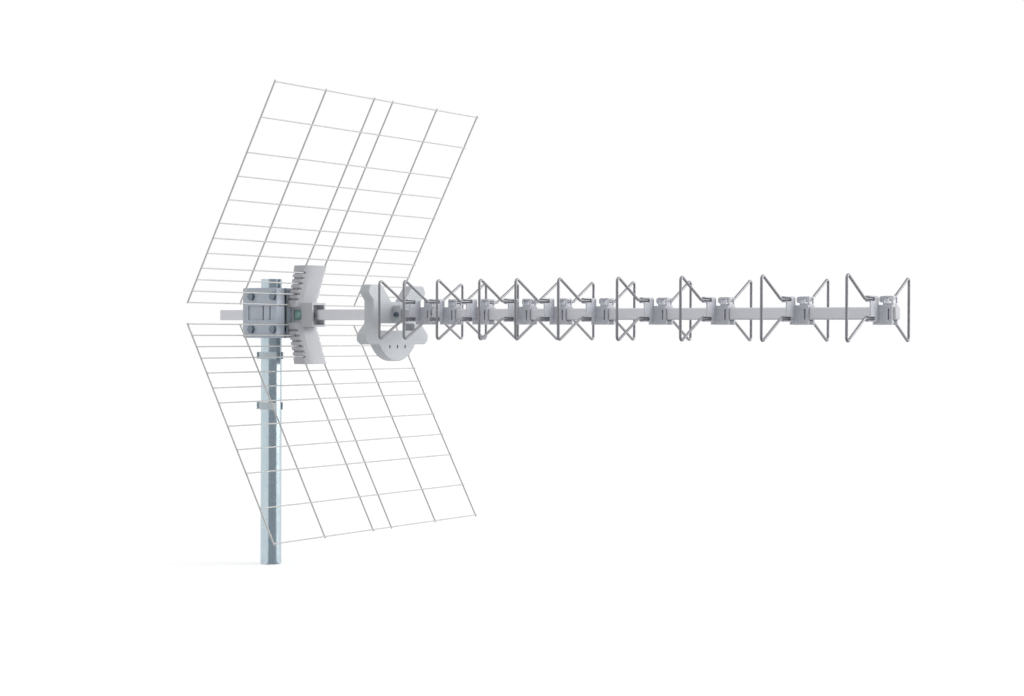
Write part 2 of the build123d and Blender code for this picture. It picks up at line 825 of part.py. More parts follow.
save("mast_tube", mast_tube())
save("boom_tube", boom_tube())
save("boom_front_cap", boom_front_cap())
save("clamp_jaw", clamp_jaw())
save("clamp_saddle", clamp_saddle())
save("clamp_back_plate", clamp_back_plate())
for name, fasteners in zip(("bolts", "washers", "nuts"), clamp_fasteners()):
    save("clamp_" + name, fasteners)
for name, drop in zip(("upper", "lower"), band_drops):
    save("cable_clip_" + name, cable_clip(boom_height - drop))

upper_pieces = {"reflector_panel": reflector_panel_upper(), "holder_keeper": keeper_upper()}
for name, upper in upper_pieces.items():
    save(name + "_upper", upper)
    save(name + "_lower", mirror(upper, about=boom_level))
screw = keeper_screw_upper()
save("keeper_screws", group([screw, mirror(screw, about=boom_level)]))
save("reflector_holder", reflector_holder())
holder_bolt, holder_nut = holder_bolt_and_nut()
save("holder_bolt", holder_bolt)
save("holder_nut", holder_nut)

save("dipole_front_shell", dipole_front_shell())
save("dipole_rear_shell", dipole_rear_shell())
save("housing_gasket", housing_gasket())
save("housing_screws", housing_screws())
save("collar_screw", collar_screw())
plate_left, plate_right = dipole_plates()
save("dipole_plate_left", plate_left)
save("dipole_plate_right", plate_right)
save("balun_board", balun_board())
save("feed_pins", feed_pins())
socket, socket_nut = cable_socket()
save("cable_socket", socket)
save("cable_socket_nut", socket_nut)

clip = director_clip()
wings = {"near": wing(-1), "far": wing(1)}
for number, x in enumerate(director_places(), start=1):
    place = Pos(x, boom_y, boom_height)
    save("director_%02d_clip" % number, place * clip)
    for name, shape in wings.items():
        save("director_%02d_%s_wing" % (number, name), place * shape)
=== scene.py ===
from math import atan2, cos, hypot, pi, radians, sin

import bmesh
import bpy
from mathutils import Matrix, Quaternion, Vector


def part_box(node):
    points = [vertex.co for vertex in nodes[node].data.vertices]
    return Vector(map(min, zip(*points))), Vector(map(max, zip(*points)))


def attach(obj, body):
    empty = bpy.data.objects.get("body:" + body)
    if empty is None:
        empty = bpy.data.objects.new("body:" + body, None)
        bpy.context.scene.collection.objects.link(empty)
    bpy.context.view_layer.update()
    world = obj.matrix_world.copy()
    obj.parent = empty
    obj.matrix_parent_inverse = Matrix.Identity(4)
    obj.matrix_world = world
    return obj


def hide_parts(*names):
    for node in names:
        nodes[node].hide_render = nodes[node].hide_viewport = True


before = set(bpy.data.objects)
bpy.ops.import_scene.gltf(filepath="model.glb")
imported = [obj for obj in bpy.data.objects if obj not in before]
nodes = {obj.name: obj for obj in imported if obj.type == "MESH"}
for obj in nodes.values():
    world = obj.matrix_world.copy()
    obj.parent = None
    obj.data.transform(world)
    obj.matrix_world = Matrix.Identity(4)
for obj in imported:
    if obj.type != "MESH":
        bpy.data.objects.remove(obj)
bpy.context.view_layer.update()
mm = 0.001

# The studio: a plain pale floor that the mast stands on, a white surround and soft light.
# The camera stands at the front quarter, almost level with the boom, and looks back along it.
# White reaches the camera and reflections alone, so it adds no light to the aerial.
camera_place = Vector((1.7298, -2.0721, 0.3299))
camera_turn = radians(32.54)
camera_dip = radians(0.45)
camera_roll = radians(0.21)
focal_pixels = 1874.5
picture_width = 1024
floor_side = 60
floor_drop = 0.5 * mm

camera = bpy.data.objects.new("camera", bpy.data.cameras.new("camera"))
bpy.context.scene.collection.objects.link(camera)
bpy.context.scene.camera = camera
level = Vector((-sin(camera_turn), cos(camera_turn), 0))
look = level * cos(camera_dip) - Vector((0, 0, sin(camera_dip)))
camera.location = camera_place
camera.rotation_mode = "QUATERNION"
camera.rotation_quaternion = look.to_track_quat("-Z", "Y") @ Quaternion((0, 0, 1), camera_roll)
camera.data.lens = camera.data.sensor_width * focal_pixels / picture_width
bpy.context.scene.view_settings.view_transform = "Standard"


def linear(code):
    """A hex sRGB colour as linear red, green, blue and alpha."""
    levels = [int(code[place:place + 2], 16) / 255 for place in (1, 3, 5)]
    return [v / 12.92 if v <= 0.04045 else ((v + 0.055) / 1.055) ** 2.4 for v in levels] + [1]


def add(tree, kind, sockets=(), **settings):
    """Add a node. A socket takes a value, or another node's output as (node, output)."""
    made = tree.nodes.new(kind)
    for name, value in settings.items():
        setattr(made, name, value)
    for name, value in dict(sockets).items():
        if isinstance(value, tuple) and isinstance(value[0], bpy.types.Node):
            tree.links.new(value[0].outputs[value[1]], made.inputs[name])
        else:
            made.inputs[name].default_value = value
    return made


def soft_sun(name, turn, rise, strength, spread):
    """A broad even light from a compass turn (0 is +X, 90 is +Y) and a rise above the floor."""
    lamp = bpy.data.objects.new(name, bpy.data.lights.new(name, "SUN"))
    lamp.data.energy = strength
    lamp.data.angle = radians(spread)
    turn, rise = radians(turn), radians(rise)
    away = Vector((cos(rise) * cos(turn), cos(rise) * sin(turn), sin(rise)))
    lamp.rotation_mode = "QUATERNION"
    lamp.rotation_quaternion = (-away).to_track_quat("-Z", "Y")
    bpy.context.scene.collection.objects.link(lamp)


soft_sun("light_from_the_front_end", 35, 10, 2.5, 50)
soft_sun("light_from_above", -100, 65, 0.3, 70)


def seen_rays(tree):
    """Rays from the camera, or by way of a reflection or glass."""
    path = add(tree, "ShaderNodeLightPath")
    mirrored = add(tree, "ShaderNodeMath", {0: (path, "Is Camera Ray"), 1: (path, "Is Glossy Ray")},
                   operation="MAXIMUM")
    return add(tree, "ShaderNodeMath", {0: (mirrored, 0), 1: (path, "Is Transmission Ray")},
               operation="MAXIMUM")


world = bpy.data.worlds.new("white_surround")
bpy.context.scene.world = world
world.use_nodes = True
tree = world.node_tree
tree.nodes.clear()
sky = add(tree, "ShaderNodeBackground", {"Color": linear("#FFFFFF"), "Strength": 0.55})
surround = add(tree, "ShaderNodeBackground", {"Color": linear("#FFFFFF"), "Strength": 1.0})
choice = add(tree, "ShaderNodeMixShader", {0: (seen_rays(tree), 0), 1: (sky, 0), 2: (surround, 0)})
add(tree, "ShaderNodeOutputWorld", {"Surface": (choice, 0)})


def stage_sheet(name, size_x, size_y, place, material):
    """A flat sheet of the studio, not a piece of the aerial."""
    shape = bmesh.new()
    bmesh.ops.create_grid(shape, x_segments=1, y_segments=1, size=1)
    bmesh.ops.scale(shape, vec=(size_x / 2, size_y / 2, 1), verts=shape.verts)
    bmesh.ops.transform(shape, matrix=place, verts=shape.verts)
    mesh = bpy.data.meshes.new(name)
    shape.to_mesh(mesh)
    shape.free()
    mesh.materials.append(material)
    sheet = bpy.data.objects.new(name, mesh)
    bpy.context.scene.collection.objects.link(sheet)
    return sheet


# Matt white paint. Its own glow, which only seen rays get, brings it up to the surround's white.
floor_paint = bpy.data.materials.new("matt_white_floor")
floor_paint.use_nodes = True
tree = floor_paint.node_tree
tree.nodes.clear()
matt = add(tree, "ShaderNodeBsdfDiffuse", {"Color": linear("#E6E6E6")})
glow = add(tree, "ShaderNodeEmission", {"Color": linear("#FFFFFF"), "Strength": 0.42})
lifted = add(tree, "ShaderNodeAddShader", {0: (matt, 0), 1: (glow, 0)})
choice = add(tree, "ShaderNodeMixShader", {0: (seen_rays(tree), 0), 1: (matt, 0), 2: (lifted, 0)})
add(tree, "ShaderNodeOutputMaterial", {"Surface": (choice, 0)})
stage_sheet("floor", floor_side, floor_side, Matrix.Translation((0, 0, -floor_drop)), floor_paint)

# A quarter of the studio to the camera's right is dark cloth, on the floor and hung behind it.
# Only reflections see it: it draws the dark band down the round mast and along the rods.
# It is an even grey that no lamp changes.
cloth_side = 6
cloth_height = 3
cloth_turn = radians(-33)
cloth_grey = bpy.data.materials.new("dark_studio_cloth")
cloth_grey.use_nodes = True
tree = cloth_grey.node_tree
tree.nodes.clear()
glow = add(tree, "ShaderNodeEmission", {"Color": linear("#F4F8FF"), "Strength": 0.42})
add(tree, "ShaderNodeOutputMaterial", {"Surface": (glow, 0)})
cloth_reach = cloth_side / 2 ** 0.5
cloth_away = Vector((cos(cloth_turn), sin(cloth_turn), 0))
flat = Matrix.Translation(cloth_reach * cloth_away) @ Matrix.Rotation(cloth_turn + pi / 4, 4, "Z")
hung = Matrix.Translation(cloth_reach * cloth_away + Vector((0, 0, cloth_height / 2)))
hung @= cloth_away.to_track_quat("Z", "Y").to_matrix().to_4x4()
for cloth in (stage_sheet("cloth_on_the_floor", cloth_side, cloth_side, flat, cloth_grey),
              stage_sheet("cloth_hung_up", 2 * cloth_reach, cloth_height, hung, cloth_grey)):
    cloth.visible_camera = False
    cloth.visible_diffuse = False
    cloth.visible_shadow = False
    cloth.visible_transmission = False

# Mast: a short length of welded steel tube, hot-dip galvanised, sawn square at both ends.
# Zinc freezes in faint grey grains with runs down the tube, and the weld shows as a bead inside.
mast_wall = 1.5
mast_rim = 0.35
weld_radius = 0.9
weld_spread = 1.6
weld_flatness = 0.6


def turned(profile, steps):
    """Spin (radius, height) pairs in mm about Z. An outline that starts off the axis is a closed ring."""
    shape = bmesh.new()
    ring = [shape.verts.new((radius * mm, 0, height * mm)) for radius, height in profile]
    for first, second in zip(ring, ring[1:]):
        shape.edges.new((first, second))
    if profile[0][0] > 0:
        shape.edges.new((ring[-1], ring[0]))
    bmesh.ops.spin(shape, geom=shape.verts[:] + shape.edges[:], cent=(0, 0, 0), axis=(0, 0, 1),
                   angle=2 * pi, steps=steps, use_merge=True)
    bmesh.ops.remove_doubles(shape, verts=shape.verts, dist=0.001 * mm)
    bmesh.ops.recalc_face_normals(shape, faces=shape.faces)
    return shape


def finished(name, shape, material, stands_for, sharp=40):
    """Make a shape a piece of the aerial, smooth but for its sharp edges, in place of its CAD node."""
    for face in shape.faces:
        face.smooth = True
    for edge in shape.edges:
        edge.smooth = len(edge.link_faces) == 2 and edge.calc_face_angle(pi) < radians(sharp)
    mesh = bpy.data.meshes.new(name)
    shape.to_mesh(mesh)
    shape.free()
    mesh.materials.append(material)
    piece = bpy.data.objects.new(name, mesh)
    bpy.context.scene.collection.objects.link(piece)
    piece.modifiers.new("even_shading", "WEIGHTED_NORMAL").keep_sharp = True
    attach(piece, "root")
    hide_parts(stands_for)


def new_finish(name, code, metallic, roughness):
    """A named finish: its material, its tree, its shader with even values, and the piece's coordinates."""
    material = bpy.data.materials.new(name)
    material.use_nodes = True
    tree = material.node_tree
    shader = tree.nodes["Principled BSDF"]
    shader.inputs["Base Color"].default_value = linear(code)
    shader.inputs["Metallic"].default_value = metallic
    shader.inputs["Roughness"].default_value = roughness
    return material, tree, shader, add(tree, "ShaderNodeTexCoord")


def lay_over(tree, shader, patterns):
    """Lay patterns over a finish: each socket of its shader takes a node's output as (node, output)."""
    for socket, (node, output) in patterns.items():
        tree.links.new(node.outputs[output], shader.inputs[socket])


mast_low, mast_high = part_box("mast_tube")
mast_radius = (mast_high[0] - mast_low[0]) / 2 / mm
mast_length = (mast_high[2] - mast_low[2]) / mm
mast_bore = mast_radius - mast_wall
mast = turned([(mast_radius - mast_rim, 0), (mast_radius, mast_rim), (mast_radius, mast_length - mast_rim),
               (mast_radius - mast_rim, mast_length), (mast_bore + mast_rim, mast_length),
               (mast_bore, mast_length - mast_rim), (mast_bore, mast_rim), (mast_bore + mast_rim, 0)], 72)
weld = bmesh.ops.create_cone(mast, cap_ends=True, segments=10, radius1=weld_radius * mm,
                             radius2=weld_radius * mm, depth=(mast_length - 1) * mm)
bmesh.ops.scale(mast, vec=(weld_spread, weld_flatness, 1), verts=weld["verts"])
bmesh.ops.translate(mast, vec=(0, mast_bore * mm, mast_length / 2 * mm), verts=weld["verts"])

# Hot-dip zinc: a cold bright metal. Its 5 mm grains differ a little in tone and gloss, and runs of
# the dip blur them along the tube. In a colour mix, sockets 0, 6 and 7 are the factor and the two
# colours, and output 2 is the result.
galvanised, tree, shader, place = new_finish("galvanised_steel_tube", "#BCCBD3", 1, 0.3)
grains = add(tree, "ShaderNodeTexVoronoi", {"Vector": (place, "Object"), "Scale": 1 / (5 * mm)})
stretch = add(tree, "ShaderNodeMapping", {"Vector": (place, "Object"), "Scale": (1, 1, 0.05)})
runs = add(tree, "ShaderNodeTexNoise", {"Vector": (stretch, 0), "Scale": 1 / (4 * mm), "Detail": 3})
mixed = add(tree, "ShaderNodeMix", {0: 0.6, 2: (grains, "Color"), 3: (runs, 0)}, data_type="FLOAT")
tones = add(tree, "ShaderNodeMix", {0: (mixed, 0), 6: linear("#AFC0C9"), 7: linear("#C6D3D9")},
            data_type="RGBA")
gloss = add(tree, "ShaderNodeMapRange", {"Value": (mixed, 0), "To Min": 0.16, "To Max": 0.26})
relief = add(tree, "ShaderNodeBump", {"Height": (runs, 0), "Distance": 0.03 * mm})
lay_over(tree, shader, {"Base Color": (tones, 2), "Roughness": (gloss, 0), "Normal": (relief, 0)})
finished("mast", mast, galvanised, "mast_tube")

# Boom: a square aluminium tube, drawn through a die and left as it came, with rounded corners.
# The die leaves fine straight lines along it, and the sawn ends are square.
# Its front end is shut by a push-in cap of pale moulded plastic with a bevelled edge.


def copied(node, edge, segments=2):
    """A CAD node's shape as new mesh: its triangles merged, its flats whole, its edges rounded (mm)."""
    shape = bmesh.new()
    shape.from_mesh(nodes[node].data)
    bmesh.ops.remove_doubles(shape, verts=shape.verts, dist=0.002 * mm)
    bmesh.ops.dissolve_limit(shape, angle_limit=radians(0.5), verts=shape.verts, edges=shape.edges)
    keen = [line for line in shape.edges
            if len(line.link_faces) == 2 and line.calc_face_angle(0) > radians(35)]
    bmesh.ops.bevel(shape, geom=keen, offset=edge * mm, offset_type="OFFSET", affect="EDGES",
                    segments=segments, profile=0.5, material=-1, clamp_overlap=True)
    return shape


def moulded_plastic(name, first, second, roughness=0.45, milky=0.0):
    """A thermoplastic as it leaves the mould: a satin skin with a fine grain and faint flow marks.

    Milky is how much light passes under the skin, which thin free walls show as a paler tone.
    """
    flow_mark = 22
    # The spark-eroded skin is finer than this on the real piece, and is drawn as coarse as it shows.
    grain = 0.7
    material, tree, shader, place = new_finish(name, first, 0, roughness)
    flow = add(tree, "ShaderNodeTexNoise", {"Vector": (place, "Object"), "Scale": 1 / (flow_mark * mm),
                                            "Detail": 3, "Distortion": 0.6})
    skin = add(tree, "ShaderNodeTexNoise", {"Vector": (place, "Object"), "Scale": 1 / (grain * mm),
                                            "Detail": 2})
    tones = add(tree, "ShaderNodeMix", {0: (flow, 0), 6: linear(first), 7: linear(second)},
                data_type="RGBA")
    satin = add(tree, "ShaderNodeMapRange", {"Value": (flow, 0), "To Min": roughness - 0.06,
                                             "To Max": roughness + 0.08})
    relief = add(tree, "ShaderNodeBump", {"Height": (skin, 0), "Distance": 0.05 * mm, "Strength": 0.6})
    lay_over(tree, shader, {"Base Color": (tones, 2), "Roughness": (satin, 0), "Normal": (relief, 0)})
    shader.inputs["Subsurface Weight"].default_value = milky
    shader.inputs["Subsurface Radius"].default_value = (1, 1, 1)
    shader.inputs["Subsurface Scale"].default_value = 4 * mm
    return material


# Drawn aluminium: a silvery metal, blurred along its length by the die's lines of about 1 mm.
drawn_aluminium, tree, shader, place = new_finish("drawn_aluminium_tube", "#C6C7CC", 0.85, 0.36)
stretch = add(tree, "ShaderNodeMapping", {"Vector": (place, "Object"), "Scale": (0.01, 1, 1)})
lines = add(tree, "ShaderNodeTexNoise", {"Vector": (stretch, 0), "Scale": 1 / (0.9 * mm), "Detail": 4})
tones = add(tree, "ShaderNodeMix", {0: (lines, 0), 6: linear("#BEBFC4"), 7: linear("#CFD0D5")},
            data_type="RGBA")
gloss = add(tree, "ShaderNodeMapRange", {"Value": (lines, 0), "To Min": 0.3, "To Max": 0.46})
relief = add(tree, "ShaderNodeBump", {"Height": (lines, 0), "Distance": 0.03 * mm})
lay_over(tree, shader, {"Base Color": (tones, 2), "Roughness": (gloss, 0), "Normal": (relief, 0)})
finished("boom", copied("boom_tube", 0.15, segments=1), drawn_aluminium, "boom_tube")

# Polyethylene, moulded: waxy, a shade paler than the tube.
cap_plastic = moulded_plastic("moulded_polyethylene_cap", "#BEC0C4", "#C6C8CC")
finished("boom_cap", copied("boom_front_cap", 0.3), cap_plastic, "boom_front_cap")

# Mast clamp: an outer jaw, a saddle between mast and boom, and a plate behind the boom, all die-cast
# in light alloy and tumbled, so edges are soft. A recessed web with two slits closes the jaw's
# window. The source leaves a wall of half a millimetre at the window's front side, made solid here.
jaw_wall = 5.02
window_width = 52
window_height = 20
window_recess = 1.6
web_thickness = 1.8
web_slits = (0, 12.5)
slit_width = 1.8
side_width = 5
side_lap = 0.2

# Tumbled die casting: a dull grey skin, a little cloudy and peened, that reflects less than metal.
cast_alloy, tree, shader, place = new_finish("tumbled_die_cast_alloy", "#B6BEC8", 0.2, 0.5)
cloud = add(tree, "ShaderNodeTexNoise", {"Vector": (place, "Object"), "Scale": 1 / (14 * mm), "Detail": 5})
peen = add(tree, "ShaderNodeTexNoise", {"Vector": (place, "Object"), "Scale": 1 / (1.2 * mm), "Detail": 2})
tones = add(tree, "ShaderNodeMix", {0: (cloud, 0), 6: linear("#ACB4BF"), 7: linear("#C2CAD3")},
            data_type="RGBA")
relief = add(tree, "ShaderNodeBump", {"Height": (peen, 0), "Distance": 0.08 * mm})
lay_over(tree, shader, {"Base Color": (tones, 2), "Normal": (relief, 0)})


def slab(shape, low, high, edge):
    """Add a box between two corners in mm, with rounded edges."""
    low, high = Vector(low) * mm, Vector(high) * mm
    made = bmesh.ops.create_cube(shape, size=1)
    bmesh.ops.scale(shape, vec=high - low, verts=made["verts"])
    bmesh.ops.translate(shape, vec=(low + high) / 2, verts=made["verts"])
    lines = list({line for vert in made["verts"] for line in vert.link_edges})
    bmesh.ops.bevel(shape, geom=lines, offset=edge * mm, offset_type="OFFSET", affect="EDGES",
                    segments=2, profile=0.5, material=-1)


jaw = copied("clamp_jaw", 0.2)
jaw_low, jaw_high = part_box("clamp_jaw")
web_middle = (jaw_low[2] + jaw_high[2]) / 2 / mm
web_low = web_middle - window_height / 2
web_high = web_middle + window_height / 2
web_face = -mast_radius - jaw_wall + window_recess
stops = [-window_width / 2]
for slit in web_slits:
    stops += [slit - slit_width / 2, slit + slit_width / 2]
stops.append(window_width / 2)
for start, end in zip(stops[::2], stops[1::2]):
    slab(jaw, (start, web_face, web_low), (end, web_face + web_thickness, web_high), 0.3)
slab(jaw, (window_width / 2 - side_width, web_face - window_recess, web_low),
     (window_width / 2 + side_lap, web_face + 3 * web_thickness, web_high), 0.2)
finished("cast_clamp_jaw", jaw, cast_alloy, "clamp_jaw")
for node in ("clamp_saddle", "clamp_back_plate"):
    finished("cast_" + node, copied(node, 0.5), cast_alloy, node)

# Clamp fasteners: four hexagonal bolts through all three castings, with a washer and a nut on each.
# They are cold-forged steel with dull zinc plating. The heads' corners are turned down, which leaves
# a round face on 0.96 of the width, and the ends are threaded.
bolt_across = 10
bolt_radius = 3
bolt_head = 4
bolt_tail = 4
bolt_chamfer = 0.96
thread_pitch = 1
thread_root = 0.35
washer_reach = 6
washer_round = 0.25
washer_bore = bolt_radius + 0.3


def hexagon(shape, high_face):
    """Push a disc's rim out to a hexagon, and turn down its corners at the high face, in mm."""
    for vert in shape.verts:
        radius = hypot(vert.co.x, vert.co.y)
        if radius <= bolt_chamfer * bolt_across / 2 * mm or vert.co.z > (high_face - 0.01) * mm:
            continue
        turn = atan2(vert.co.y, vert.co.x) % (pi / 3) - pi / 6
        reach = radius / cos(turn)
        if vert.co.z > 0.01 * mm:
            vert.co.z -= (reach - radius) * 0.5
        vert.co.x *= reach / radius
        vert.co.y *= reach / radius


def thread(shape, start, length):
    """Wind a ridge of V section round a bolt along Z, from a start height for a length, in mm."""
    around = 20
    root = bolt_radius - 0.55 * thread_pitch
    section = [(root, start), (bolt_radius, start + thread_pitch / 2), (root, start + 0.96 * thread_pitch)]
    first = shape.faces.new([shape.verts.new((reach * mm, 0, height * mm)) for reach, height in section])
    steps = int(around * (length / thread_pitch - 1))
    bmesh.ops.spin(shape, geom=[first], cent=(0, 0, 0), axis=(0, 0, 1),
                   dvec=(0, 0, thread_pitch / around * mm), angle=2 * pi * steps / around, steps=steps)


def stood(shape, start):
    """Turn a shape that was made along Z to point across the boom, and stand it at a point in metres."""
    turn = Vector((0, 1, 0)).to_track_quat("Z", "Y").to_matrix().to_4x4()
    bmesh.ops.transform(shape, matrix=Matrix.Translation(start) @ turn, verts=shape.verts)
    return shape


def gathered(shapes):
    """Several shapes in one."""
    whole = bmesh.new()
    for shape in shapes:
        mesh = bpy.data.meshes.new("part")
        shape.to_mesh(mesh)
        shape.free()
        whole.from_mesh(mesh)
        bpy.data.meshes.remove(mesh)
    return whole


def hexagon_bolt(grip, tail):
    """A bolt along Z: its head below zero, its shank up to grip and its threaded tail beyond, in mm."""
    rim = bolt_across / 2
    core = bolt_radius - thread_root
    end = grip + tail
    shape = turned([(0, -bolt_head), (rim * bolt_chamfer, -bolt_head), (rim, -bolt_head * 0.9), (rim, 0),
                    (core, 0), (core, end - 0.5), (bolt_radius - 0.9, end), (0, end)], 36)
    bmesh.ops.scale(shape, vec=(1, 1, -1), verts=shape.verts)
    hexagon(shape, bolt_head)
    bmesh.ops.scale(shape, vec=(1, 1, -1), verts=shape.verts)
    thread(shape, end - 2 * tail - 5, 2 * tail + 4.6)
    bmesh.ops.recalc_face_normals(shape, faces=shape.faces)
    return shape


def hexagon_nut(height):
    """A nut along Z, chamfered at both ends, in mm."""
    rim = bolt_across / 2
    flat = rim * bolt_chamfer
    shape = turned([(bolt_radius + 0.4, 0), (flat, 0), (rim, height * 0.1), (rim, height * 0.9),
                    (flat, height), (bolt_radius + 0.4, height), (bolt_radius, height - 0.4),
                    (bolt_radius, 0.4)], 36)
    hexagon(shape, height)
    bmesh.ops.recalc_face_normals(shape, faces=shape.faces)
    return shape


# Dull zinc plating on steel: a dark bluish metal under a fine cloudy bloom.
zinc, tree, shader, place = new_finish("dull_zinc_plated_steel", "#75808B", 1, 0.38)
bloom = add(tree, "ShaderNodeTexNoise", {"Vector": (place, "Object"), "Scale": 1 / (3 * mm), "Detail": 4})
tones = add(tree, "ShaderNodeMix", {0: (bloom, 0), 6: linear("#69747F"), 7: linear("#848F99")},
            data_type="RGBA")
gloss = add(tree, "ShaderNodeMapRange", {"Value": (bloom, 0), "To Min": 0.3, "To Max": 0.48})
relief = add(tree, "ShaderNodeBump", {"Height": (bloom, 0), "Distance": 0.02 * mm})
lay_over(tree, shader, {"Base Color": (tones, 2), "Roughness": (gloss, 0), "Normal": (relief, 0)})

bolts_low, bolts_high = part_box("clamp_bolts")
nuts_low, nuts_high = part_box("clamp_nuts")
washers_low, washers_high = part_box("clamp_washers")
bolt_length = (bolts_high[1] - bolts_low[1]) / mm
nut_height = (nuts_high[1] - nuts_low[1]) / mm
washer_thick = (washers_high[1] - washers_low[1]) / mm
washer_ring = [(washer_bore, washer_round), (washer_bore + washer_round, 0),
               (washer_reach - washer_round, 0), (washer_reach, washer_round),
               (washer_reach, washer_thick - washer_round), (washer_reach - washer_round, washer_thick),
               (washer_bore + washer_round, washer_thick), (washer_bore, washer_thick - washer_round)]
corner_x = (washers_low[0] + washer_reach * mm, washers_high[0] - washer_reach * mm)
corner_z = (washers_low[2] + washer_reach * mm, washers_high[2] - washer_reach * mm)
seat = bolts_low[1] + bolt_head * mm
grip = bolt_length - bolt_head - bolt_tail
bolts = []
washers = []
nuts = []
for x in corner_x:
    for z in corner_z:
        bolts.append(stood(hexagon_bolt(grip, bolt_tail), (x, seat, z)))
        washers.append(stood(turned(washer_ring, 36), (x, washers_low[1], z)))
        nuts.append(stood(hexagon_nut(nut_height), (x, nuts_low[1], z)))
for name, shapes in (("bolts", bolts), ("washers", washers), ("nuts", nuts)):
    finished("zinc_clamp_" + name, gathered(shapes), zinc, "clamp_" + name, sharp=28)

# Cable clips: two sprung bands of pale blue-grey polyamide, moulded, that snap round the mast.
# The open hook behind each one holds the down lead.
clip_plastic = moulded_plastic("moulded_polyamide_clip", "#C6D2D8", "#D0DBE0", 0.42)
for rank in ("upper", "lower"):
    node = "cable_clip_" + rank
    finished("mast_" + node, copied(node, 0.4), clip_plastic, node)

# Reflector: an upper and a lower grid of steel wire. Thin cross wires are spot welded to the front of
# thicker long ones, which leaves a small flattened bead at each crossing. The whole is dipped in pale
# paint after welding, so the paint is smooth, fills the joints a little and is thicker at the beads.
grid_wire = 2.4
grid_cross_wire = 1.8
grid_sink = 0.5
grid_bead = 1.3
grid_bead_shape = (0.85, 1.15, 1.15)
grid_width = 468.0
grid_rows = (17.0, 17.0, 17.0, 22.0, 22.0, 22.0, 34.0, 34.0, 34.0, 50.0, 50.0)
grid_inner_columns = (21.3, 128.5)
grid_overhang = 2.0
grid_tilt = radians(27.7)
grid_nose = 29.0
grid_rise = 15.0


def wire(shape, start, end, radius):
    """Add a round wire between two points in mm, with its cut ends softened."""
    around = 12
    start, end = Vector(start) * mm, Vector(end) * mm
    run = end - start
    turn = run.to_track_quat("Z", "Y").to_matrix().to_4x4()
    made = bmesh.ops.create_cone(shape, cap_ends=True, segments=around, radius1=radius * mm,
                                 radius2=radius * mm, depth=run.length,
                                 matrix=Matrix.Translation((start + end) / 2) @ turn)
    caps = {face for vert in made["verts"] for face in vert.link_faces if len(face.verts) == around}
    rims = {line for face in caps for line in face.edges}
    bmesh.ops.bevel(shape, geom=list(rims), offset=0.4 * radius * mm, offset_type="OFFSET", affect="EDGES",
                    segments=2, profile=0.5, material=-1)


# Dipped paint on steel wire: pale, with half a gloss and a film of uneven thickness.
painted_wire, tree, shader, place = new_finish("dip_painted_steel_wire", "#C9C9C8", 0, 0.4)
film = add(tree, "ShaderNodeTexNoise", {"Vector": (place, "Object"), "Scale": 1 / (9 * mm), "Detail": 4})
tones = add(tree, "ShaderNodeMix", {0: (film, 0), 6: linear("#BDBDBC"), 7: linear("#D2D2D1")},
            data_type="RGBA")
relief = add(tree, "ShaderNodeBump", {"Height": (film, 0), "Distance": 0.15 * mm})
lay_over(tree, shader, {"Base Color": (tones, 2), "Normal": (relief, 0)})
shader.inputs["Coat Weight"].default_value = 0.25

boom_low, boom_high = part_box("boom_tube")
boom_y = (boom_low[1] + boom_high[1]) / 2 / mm
boom_z = (boom_low[2] + boom_high[2]) / 2 / mm
rows = [sum(grid_rows[:count]) for count in range(len(grid_rows) + 1)]
columns = [side * column for column in (*grid_inner_columns, grid_width / 2) for side in (-1, 1)]
lift = (grid_wire + grid_cross_wire) / 2 - grid_sink
across = Vector((0, 1, 0))
reach = (grid_width / 2 + grid_overhang) * across
for rank, side in (("upper", 1), ("lower", -1)):
    slope = Vector((sin(grid_tilt), 0, side * cos(grid_tilt)))
    front = Vector((cos(grid_tilt), 0, -side * sin(grid_tilt)))
    nose = Vector((grid_nose, boom_y, boom_z + side * grid_rise))
    grid = bmesh.new()
    for column in columns:
        foot = nose + column * across
        wire(grid, foot - grid_overhang * slope, foot + (rows[-1] + grid_overhang) * slope, grid_wire / 2)
    for row in rows:
        middle = nose + row * slope + lift * front
        wire(grid, middle - reach, middle + reach, grid_cross_wire / 2)
        for column in columns:
            joint = nose + row * slope + column * across + (lift / 2 + 0.1) * front
            made = bmesh.ops.create_uvsphere(grid, u_segments=8, v_segments=5, radius=grid_bead * mm)
            bmesh.ops.scale(grid, vec=grid_bead_shape, verts=made["verts"])
            bmesh.ops.translate(grid, vec=joint * mm, verts=made["verts"])
    node = "reflector_panel_" + rank
    finished("wire_" + node, grid, painted_wire, node, sharp=50)

# Reflector holder: one pale grey moulding of ABS, with a hub on the boom and two ribbed arms.
# A rear keeper closes each arm over the grids' wires.
holder_plastic = moulded_plastic("moulded_abs_holder", "#BFC0C5", "#C8C9CE", 0.48)
for node in ("reflector_holder", "holder_keeper_upper", "holder_keeper_lower"):
    finished("moulded_" + node, copied(node, 0.4), holder_plastic, node)

# Holder fasteners: a hexagonal bolt and nut across the hub, a large square washer in the hub's pocket
# under the bolt's head, and one screw in each keeper. The bolt, washer and nut are zinc plated with a
# green tint, and the keepers' screws are plain zinc.
holder_tail = 1
square_bore = 4.6
square_reach = 10.2
square_thick = 1.0

# Passivated zinc plating: its thick green film takes the shine off the metal.
tinted_zinc, tree, shader, place = new_finish("green_tinted_zinc_plate", "#A8CDC5", 0.4, 0.34)
bloom = add(tree, "ShaderNodeTexNoise", {"Vector": (place, "Object"), "Scale": 1 / (3 * mm), "Detail": 4})
tones = add(tree, "ShaderNodeMix", {0: (bloom, 0), 6: linear("#98C2B9"), 7: linear("#B5D6CE")},
            data_type="RGBA")
relief = add(tree, "ShaderNodeBump", {"Height": (bloom, 0), "Distance": 0.02 * mm})
lay_over(tree, shader, {"Base Color": (tones, 2), "Normal": (relief, 0)})

